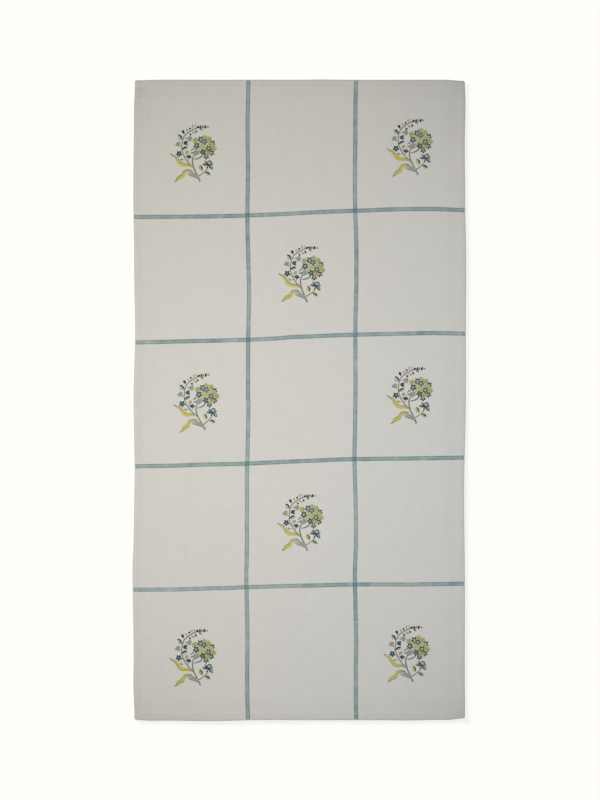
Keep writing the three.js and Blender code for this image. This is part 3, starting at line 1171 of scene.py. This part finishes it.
def cloth_material():
    """Plain woven cotton with uneven threads, printed lines and the printed flowers."""
    graph = Graph("woven_cotton")
    place = graph.vector("ADD", graph.millimetres(), (MIDDLE_X, MIDDLE_Y, 0))
    x, y, _ = graph.split(place)

    # Threads wander a little and differ in thickness
    drift_x = (graph.noise(place, *CLOTH_NOISE["drift"]) - 0.5) * THREAD_DRIFT
    elsewhere = graph.vector("ADD", place, (311, 97, 0))
    drift_y = (graph.noise(elsewhere, *CLOTH_NOISE["drift"]) - 0.5) * THREAD_DRIFT
    wave_x = graph.math("SINE", (x + drift_x) * (math.pi / THREAD_PITCH))
    wave_y = graph.math("SINE", (y + drift_y) * (math.pi / THREAD_PITCH))
    knuckle = graph.math("POWER", graph.math("ABSOLUTE", wave_x * wave_y), KNUCKLE_SHARPNESS)
    warp_slub = graph.noise(graph.vector("MULTIPLY", place, WARP_STRETCH), *CLOTH_NOISE["slub"])
    weft_slub = graph.noise(graph.vector("MULTIPLY", place, WEFT_STRETCH), *CLOTH_NOISE["slub"])
    slub = warp_slub + weft_slub
    fuzz = graph.noise(place, *CLOTH_NOISE["fuzz"])

    # Ink sits on the thread tops and thins out toward its edges
    rough = (graph.noise(place, *CLOTH_NOISE["ink_edge"]) - 0.5) * INK_EDGE_FUZZ
    down = lines_strength(graph, x, y, DOWN_LINES, TOWEL_LENGTH, 0, rough)
    across = lines_strength(graph, y, x, ACROSS_LINES, TOWEL_WIDTH, 5, rough)
    mottle = graph.noise(place, *CLOTH_NOISE["mottle"]).scaled(*INK_LEVELS["mottle"])
    wet = knuckle.scaled(*INK_LEVELS["knuckle"]) * mottle * graph.attribute("show")
    blotch = graph.noise(place, *CLOTH_NOISE["blotch"]).scaled(*INK_LEVELS["blotch"])
    lines = (down + across - down * across * CROSSING_SHARED) * blotch * wet
    stripe_ink = graph.vector("SCALE", tuple(-math.log(share) for share in STRIPE_INK), lines)
    flower_ink = graph.vector("SCALE", graph.attribute("ink", "Vector"), wet)
    densities = graph.split(graph.vector("ADD", stripe_ink, flower_ink))

    # Painted shade along the folded edges, seams, borders and corners, and slubs, knuckles and cloudy patches
    # darken the cloth
    tone = graph.math("SUBTRACT", 1, graph.attribute("painted_shade_share")) * slub.scaled(*TONE_LEVELS["slub"])
    # painted shade in the hollows between the threads' knuckles
    tone = tone * knuckle.scaled(*TONE_LEVELS["knuckle"])
    tone = tone * graph.noise(place, *CLOTH_NOISE["cloudy"]).scaled(*TONE_LEVELS["cloudy"])
    colours = []
    for density, share in zip(densities, CLOTH_COLOUR):
        colours.append(graph.math("EXPONENT", density * -1) * share * tone)
    base = graph.node("CombineColor", enumerate(colours))
    graph.feed(graph.shader, CLOTH_SHEEN.items())
    height = fuzz.scaled(FUZZ_RISE, knuckle.scaled(KNUCKLE_RISE, slub * SLUB_RISE))
    return graph.surface(base, fuzz.scaled(*ROUGHNESS_LEVEL), height, CLOTH_BUMP, MM)


# The thread's tones, the shade between its plies and how strongly that shows
THREAD_COLOURS = ((0.60, 0.58, 0.52, 1), (0.72, 0.70, 0.63, 1))
PLY_SHADE = (0.45, 0.43, 0.38, 1)
PLY_SHARE = 0.25
PLY_SCALE = 0.6
PLY_WANDER = 0.4


def thread_material():
    """The hems' cotton thread, two plies that twist along each stitch."""
    graph = Graph("sewing_thread")
    place = graph.millimetres()
    inputs = [("Vector", place), ("Scale", PLY_SCALE), ("Distortion", PLY_WANDER)]
    twist = graph.node("TexWave", inputs, "Fac", bands_direction="DIAGONAL")
    tone = graph.noise(place, 0.4, 3)
    base = graph.blend(twist * PLY_SHARE, graph.blend(tone, *THREAD_COLOURS), PLY_SHADE)
    return graph.surface(base, tone.scaled(0.2, 0.6), twist, 0.5, 0.2 * MM)


# The hem's machine stitching

STITCH_LENGTH = 2.9
STITCH_PITCH = 3.5
STITCH_WIDTH = 0.75
STITCH_HEIGHT = 0.5
STITCH_SKEW = 0.12
STITCH_SIDES = 6
# Rings of a stitch: place along it, size of its section
STITCH_RINGS = [(-0.5, 0.3), (-0.36, 0.85), (0.0, 1.0), (0.36, 0.85), (0.5, 0.3)]
# How far a stitch's middle stands out of the cloth, and how much further in its ends are
STITCH_PROUD = 0.08
STITCH_DIVE = 0.22
# How far from the cloth's edges the stitching ends
STITCH_END = 3


def stitch_runs():
    """Each stitch's middle and direction on the flat cloth, along the left, right, top and bottom hem."""
    half = np.array([TOWEL_WIDTH / 2, TOWEL_LENGTH / 2])
    end = half - STITCH_END
    for axis, sign, hem in ((0, -1, SIDE_HEM), (0, 1, SIDE_HEM), (1, 1, TOP_HEM), (1, -1, BOTTOM_HEM)):
        way = np.eye(2)[1 - axis]
        start = -end * way + np.eye(2)[axis] * sign * (half[axis] - hem + STITCH_INSET)
        length = 2 * end[1 - axis]
        for step in range(int(length / STITCH_PITCH)):
            yield start + way * length * (step + 0.5) * STITCH_PITCH / length, way


def stitch_faces():
    """The faces of one stitch, by its points' numbers."""
    faces = []
    last = (len(STITCH_RINGS) - 1) * STITCH_SIDES
    for start in range(0, last, STITCH_SIDES):
        for corner in range(STITCH_SIDES):
            here, after = start + corner, start + (corner + 1) % STITCH_SIDES
            faces.append([after, after + STITCH_SIDES, here + STITCH_SIDES, here])
    return faces + [list(range(STITCH_SIDES)), list(range(last, last + STITCH_SIDES))[::-1]]


def stitches_mesh():
    """All stitches of both sides as one mesh of small rounded grains."""
    rng = np.random.default_rng(SEED + 3)
    middles, ways = map(np.array, zip(*stitch_runs()))
    here = laid(middles)
    way = laid(middles + ways) - here
    way /= np.linalg.norm(way, axis=1)[:, None]
    left = np.stack([-way[:, 1], way[:, 0]], 1)
    # Each array runs over stitches, rings, corners and coordinates
    here, way, left = here[:, None, None], way[:, None, None], left[:, None, None]
    along, size = np.array(STITCH_RINGS).T[:, None, :, None, None]
    angle = (TAU * np.arange(STITCH_SIDES) / STITCH_SIDES)[:, None]
    lift = np.sin(angle) * STITCH_HEIGHT / 2 * size
    proud = STITCH_PROUD - STITCH_DIVE * np.abs(2 * along) ** 2
    points = []
    for height, outward in ((face_height, 1), (under_height, -1)):
        base = height(here[:, 0, 0])[:, None, None, None]
        skew = rng.uniform(-STITCH_SKEW, STITCH_SKEW, here.shape[:1])[:, None, None, None]
        flat = here + way * along * STITCH_LENGTH + left * skew * along
        flat = flat + left * np.cos(angle) * STITCH_WIDTH / 2 * size
        rise = np.maximum(base + lift + outward * proud, 0.0)
        points.append(np.concatenate([flat, rise], -1).reshape(-1, 3))
    points = np.vstack(points)
    pattern = stitch_faces()
    each = len(STITCH_RINGS) * STITCH_SIDES
    faces = [[start + corner for corner in face] for start in range(0, len(points), each) for face in pattern]
    return smooth_mesh("hem_stitches", points, faces)


# Camera, floor and lights

PHOTO_WIDTH, PHOTO_HEIGHT = 600, 800
PIXEL = 2.142
TOWEL_AT_PIXEL = (299.85, 400.2)
LENS = 85
SENSOR = 36
FLOOR_HALF = 24
FLOOR_DROP = 0.2
FLOOR_COLOURS = ((0.800, 0.790, 0.752, 1), (0.806, 0.796, 0.758, 1))


def add_camera():
    camera_data = bpy.data.cameras.new("camera")
    camera_data.lens = LENS
    camera_data.sensor_width = SENSOR
    camera = bpy.data.objects.new("camera", camera_data)
    bpy.context.collection.objects.link(camera)
    x = (PHOTO_WIDTH / 2 - TOWEL_AT_PIXEL[0]) * PIXEL - MIDDLE_X
    y = (TOWEL_AT_PIXEL[1] - PHOTO_HEIGHT / 2) * PIXEL - MIDDLE_Y
    camera.location = (x * MM, y * MM, PHOTO_HEIGHT * PIXEL * LENS / SENSOR * MM)
    bpy.context.scene.camera = camera


def add_floor():
    graph = Graph("pale_floor")
    speck = graph.noise(graph.object_place(), 40, 2)
    base = graph.blend(speck, *FLOOR_COLOURS)
    graph.feed(graph.shader, [("Base Color", base), ("Roughness", 1.0), ("Specular IOR Level", 0.0)])
    mesh = bpy.data.meshes.new("floor")
    corners = [(x * FLOOR_HALF, y * FLOOR_HALF, 0) for x, y in ((-1, -1), (1, -1), (1, 1), (-1, 1))]
    mesh.from_pydata(corners, [], [[0, 1, 2, 3]])
    floor = add_object("floor", mesh, graph.material)
    floor.location.z = -FLOOR_DROP * MM
    return floor


def add_light(kind, name, group, objects, **settings):
    """A light that falls on these objects alone."""
    data = bpy.data.lights.new(name, kind)
    for key, value in settings.items():
        setattr(data, key, value)
    light = bpy.data.objects.new(name, data)
    bpy.context.collection.objects.link(light)
    lit = bpy.data.collections.new(group + name)
    for item in objects:
        lit.objects.link(item)
    light.light_linking.receiver_collection = lit
    return light


# Lights: name, turn, height, breadth in degrees, strength; those on the cloth, then those on the floor
CLOTH_SUNS = [("key", 158, 38, 40, 0.58)]
FLOOR_SUNS = [("floor_high", 135, 88, 36, 3.17), ("floor_low", 135, 10.5, 11, 2.75)]
# Round lights over the cloth: name, x, y, height, breadth, power, colour
POOLS = [
    ("lamp", -178, -46, 1793, 700, 27.25, (1.000, 0.995, 0.776)),
    ("window", 195, -145, 1773, 500, 7.20, (0.000, 0.062, 1.000)),
]
WORLD_STRENGTH = 0.08
STUDIO_COLOUR = (1.0, 0.995, 0.940, 1)


def add_lights(floor, pieces):
    for suns, group, objects in ((CLOTH_SUNS, "lit_cloth_", pieces), (FLOOR_SUNS, "lit_floor_", [floor])):
        for name, turn, rise, width, strength in suns:
            sun = add_light("SUN", name, group, objects, energy=strength, angle=math.radians(width))
            turn, rise = math.radians(turn), math.radians(rise)
            flat = math.cos(rise)
            toward = Vector((flat * math.cos(turn), flat * math.sin(turn), math.sin(rise)))
            sun.rotation_euler = (-toward).to_track_quat("-Z", "Y").to_euler()
    for name, x, y, height, breadth, power, colour in POOLS:
        shape = {"shape": "DISK", "size": breadth * MM}
        pool = add_light("AREA", name, "lit_cloth_", pieces, energy=power, color=colour, **shape)
        pool.location = (x * MM, y * MM, height * MM)
        pool.visible_camera = False


def add_world():
    """A faint light from all round, and behind the floor's far edge a studio as pale as the floor."""
    world = bpy.data.worlds.new("world")
    world.use_nodes = True
    nodes, links = world.node_tree.nodes, world.node_tree.links
    light = nodes["Background"]
    light.inputs["Color"].default_value = (1.0, 1.0, 1.0, 1)
    light.inputs["Strength"].default_value = WORLD_STRENGTH
    studio = nodes.new("ShaderNodeBackground")
    studio.inputs["Color"].default_value = STUDIO_COLOUR
    seen = nodes.new("ShaderNodeMixShader")
    links.new(nodes.new("ShaderNodeLightPath").outputs["Is Camera Ray"], seen.inputs[0])
    links.new(light.outputs[0], seen.inputs[1])
    links.new(studio.outputs[0], seen.inputs[2])
    links.new(seen.outputs[0], nodes["World Output"].inputs["Surface"])
    bpy.context.scene.world = world


def main():
    bpy.context.scene.view_settings.view_transform = "Standard"
    add_camera()
    cloth = add_object("towel_cloth", towel_mesh(), cloth_material())
    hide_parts("towel")
    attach(cloth, "root")
    stitches = add_object("hem_stitches", stitches_mesh(), thread_material())
    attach(stitches, "root")
    add_lights(add_floor(), [cloth, stitches])
    add_world()


main()
